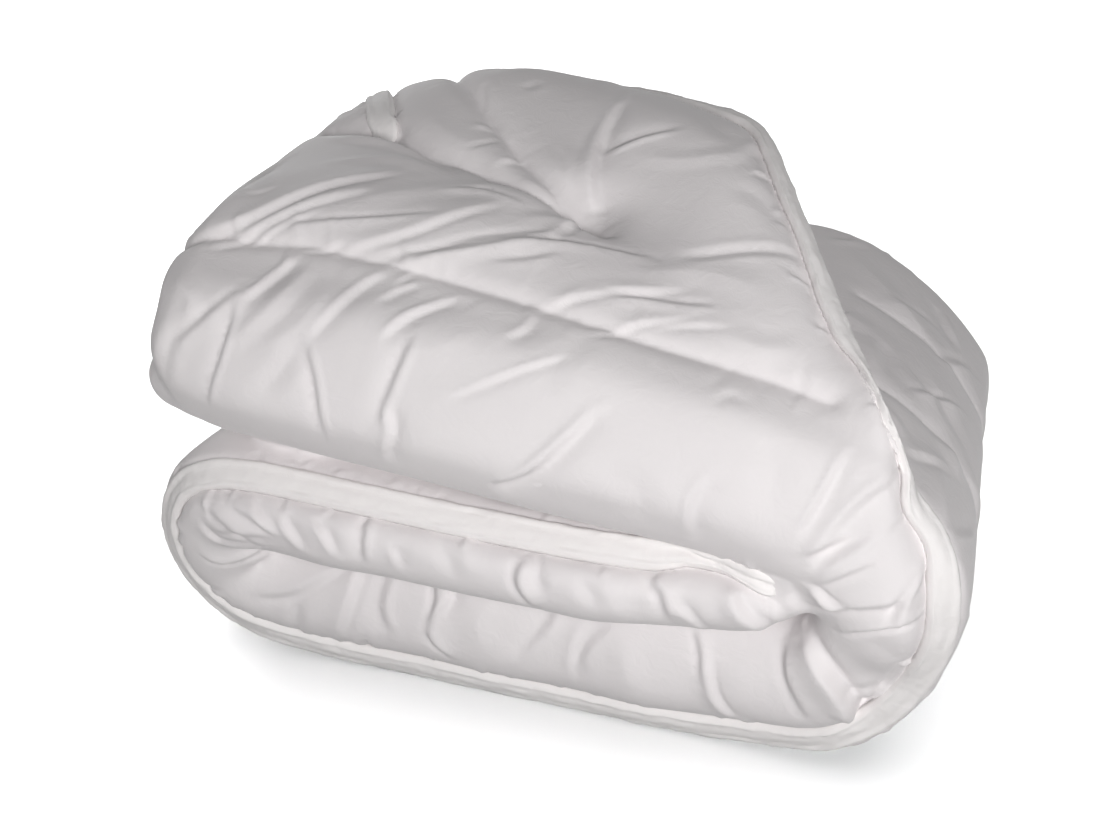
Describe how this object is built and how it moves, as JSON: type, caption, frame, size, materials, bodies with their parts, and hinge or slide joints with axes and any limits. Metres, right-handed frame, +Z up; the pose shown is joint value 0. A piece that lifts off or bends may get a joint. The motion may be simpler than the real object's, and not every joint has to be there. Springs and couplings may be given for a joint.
{
  "type": "rolled duvet",
  "caption": "White quilted duvet, folded and rolled into a thick bundle, its front turned back over the top to show the bound edge.",
  "frame": {"origin": "centre of the bounding box at the level of the surface it rests on", "axes": "+X along the roll's front, from the round left fold to the right side; +Y from its front to its back; +Z up"},
  "size_m": [0.6374, 0.4892, 0.4329],
  "materials": {
    "cover": "white cotton percale, smooth, with a soft sheen",
    "binding": "white cotton percale strip, folded and stitched"
  },
  "bodies": {
    "root": {"duvet": "cover", "edge_binding_front": "binding", "edge_binding_flap": "binding", "edge_binding_back": "binding"}
  },
  "joints": []
}
